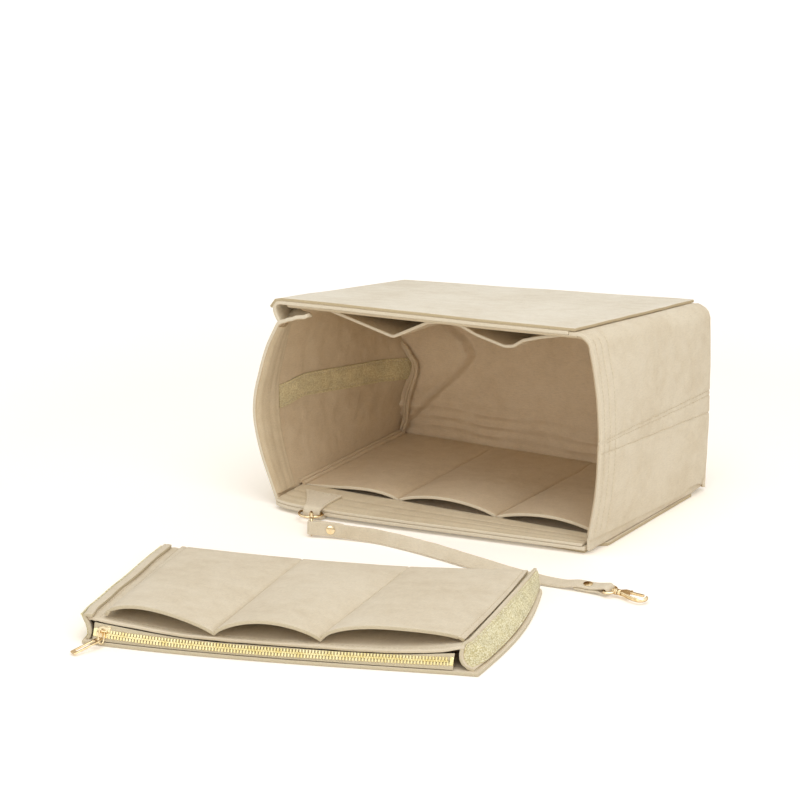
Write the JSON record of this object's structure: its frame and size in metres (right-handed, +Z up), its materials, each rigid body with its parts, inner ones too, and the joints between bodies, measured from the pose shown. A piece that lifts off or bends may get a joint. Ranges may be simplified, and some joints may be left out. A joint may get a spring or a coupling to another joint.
{
  "type": "purse organizer insert",
  "caption": "Felt purse organizer insert lying open, with slip pockets, a removable zip pouch and a key strap with swivel clasps.",
  "frame": {"origin": "centre of the face that the case lies on, the outside of its lower outer pocket", "axes": "+X along the case's length, +Y from the open mouth towards the base, +Z up from the surface it lies on"},
  "size_m": [0.3886, 0.5745, 0.1807],
  "materials": {
    "felt": "matte pressed wool felt",
    "pale_felt": "matte pressed wool felt in full light",
    "loop_tape": "napped loop tape",
    "hook_tape": "hook tape with small bright hooks",
    "zip_tape": "woven zip tape",
    "gold_teeth": "polished light gold",
    "gold_metal": "polished light gold plate"
  },
  "bodies": {
    "case": {"front_wall": "felt", "back_wall": "felt", "left_end_wall": "felt", "right_end_wall": "felt", "base_panel": "felt", "front_outer_pocket": "felt", "back_outer_pocket": "pale_felt", "front_rim_facing": "felt", "back_rim_facing": "felt", "left_rim_facing": "felt", "right_rim_facing": "felt", "front_inner_pockets": "felt", "back_inner_pockets": "felt", "left_loop_tape": "loop_tape", "right_loop_tape": "loop_tape", "key_tab": "felt", "key_strap": "felt", "strap_rivet_a": "gold_metal", "strap_rivet_b": "gold_metal", "clasp_a_eye": "gold_metal", "clasp_b_eye": "gold_metal"},
    "key_ring": {"key_ring": "gold_metal"},
    "clasp_a_hook": {"clasp_a_hook": "gold_metal", "clasp_a_pin": "gold_metal"},
    "clasp_a_gate": {"clasp_a_gate": "gold_metal"},
    "clasp_b_hook": {"clasp_b_hook": "gold_metal", "clasp_b_pin": "gold_metal"},
    "clasp_b_gate": {"clasp_b_gate": "gold_metal"},
    "pouch": {"pouch_back_panel": "felt", "pouch_front_panel": "felt", "pouch_slip_pockets": "felt", "pouch_left_gusset": "felt", "pouch_right_gusset": "felt", "pouch_bottom_gusset": "felt", "pouch_left_hook_tape": "hook_tape", "pouch_right_hook_tape": "hook_tape", "zip_lower_tape": "zip_tape", "zip_upper_tape": "zip_tape", "zip_teeth": "gold_teeth", "zip_left_stop": "gold_teeth", "zip_right_stop": "gold_teeth"},
    "zip_slider": {"zip_slider": "gold_metal"},
    "zip_pull_link": {"zip_pull_link": "gold_metal"},
    "zip_pull_tab": {"zip_pull_tab": "gold_metal"}
  },
  "joints": [
    {"name": "key_ring_swing", "type": "hinge", "parent": "case", "child": "key_ring", "pos_m": [-0.098, -0.1258, 0.0057], "axis": [-1, 0, 0], "range_deg": [-1, 7]},
    {"name": "clasp_a_swivel", "type": "hinge", "parent": "case", "child": "clasp_a_hook", "pos_m": [-0.08039, -0.15774, 0.00718], "axis": [-0.5192, 0.854, -0.0328], "range_deg": [-15, 15]},
    {"name": "clasp_a_gate_press", "type": "hinge", "parent": "clasp_a_hook", "child": "clasp_a_gate", "pos_m": [-0.08527, -0.14963, 0.00917], "axis": [-0.8546, -0.5189, 0.0193], "range_deg": [0, 20], "stiffness_Nm_per_rad": 0.002},
    {"name": "clasp_b_swivel", "type": "hinge", "parent": "case", "child": "clasp_b_hook", "pos_m": [0.19381, -0.17294, 0.00425], "axis": [0.9945, -0.0995, -0.0313], "continuous": true},
    {"name": "clasp_b_gate_press", "type": "hinge", "parent": "clasp_b_hook", "child": "clasp_b_gate", "pos_m": [0.2034, -0.17159, 0.00415], "axis": [-0.0226, 0.087, -0.996], "range_deg": [0, 20], "stiffness_Nm_per_rad": 0.002},
    {"name": "pouch_lift", "type": "slide", "parent": "case", "child": "pouch", "axis": [0, 0, 1], "range_m": [0, 0.09]},
    {"name": "zip_run", "type": "slide", "parent": "pouch", "child": "zip_slider", "axis": [0.9593, 0.2823, 0], "range_m": [0, 0.2462]},
    {"name": "zip_link_swing", "type": "hinge", "parent": "zip_slider", "child": "zip_pull_link", "pos_m": [-0.08156, -0.44484, 0.01083], "axis": [-0.9593, -0.2823, 0], "range_deg": [0, 110]},
    {"name": "zip_tab_turn", "type": "hinge", "parent": "zip_pull_link", "child": "zip_pull_tab", "pos_m": [-0.08137, -0.44985, 0.00624], "axis": [-0.1538, 0.5225, 0.8387], "range_deg": [-30, 30]}
  ]
}
